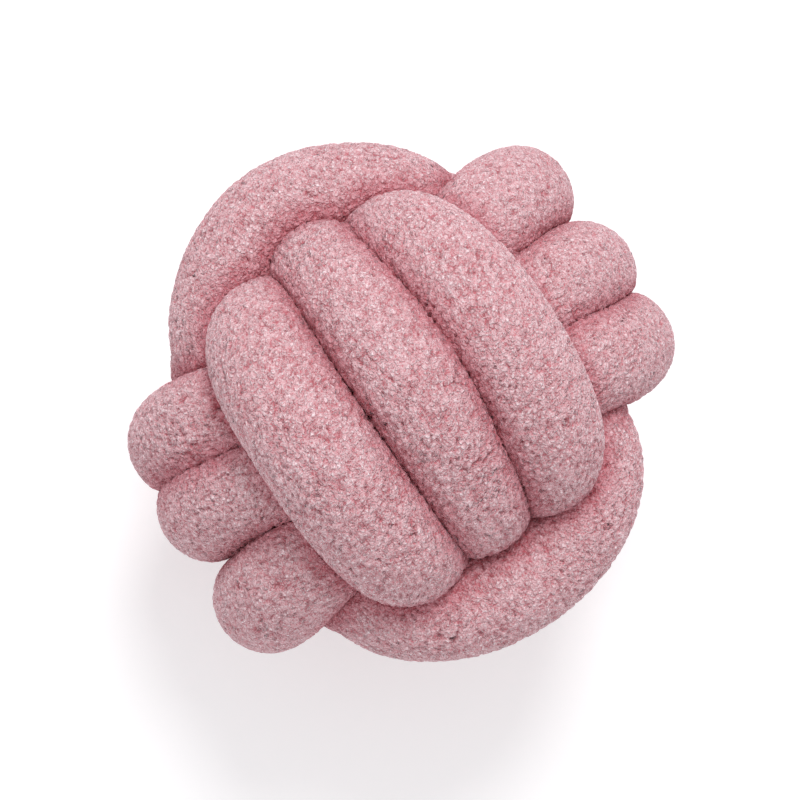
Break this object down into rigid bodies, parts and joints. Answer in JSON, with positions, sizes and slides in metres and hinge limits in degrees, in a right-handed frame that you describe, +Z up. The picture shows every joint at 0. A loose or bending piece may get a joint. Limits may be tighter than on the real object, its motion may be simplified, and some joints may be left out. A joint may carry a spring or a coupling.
{
  "type": "ball cushion",
  "caption": "Ball-shaped cushion of one stuffed plush tube, wound as a tight three-way ball knot, with small flat spots underneath.",
  "frame": {"origin": "on the floor, under the middle of the ball", "axes": "+Z up, out of the middle of the face that the picture shows; +X along the three turns of that face; +Y across them"},
  "size_m": [0.2648, 0.2786, 0.2601],
  "materials": {
    "curly_plush": "matt, short curly pile"
  },
  "bodies": {
    "root": {"knotted_tube": "curly_plush"}
  },
  "joints": []
}
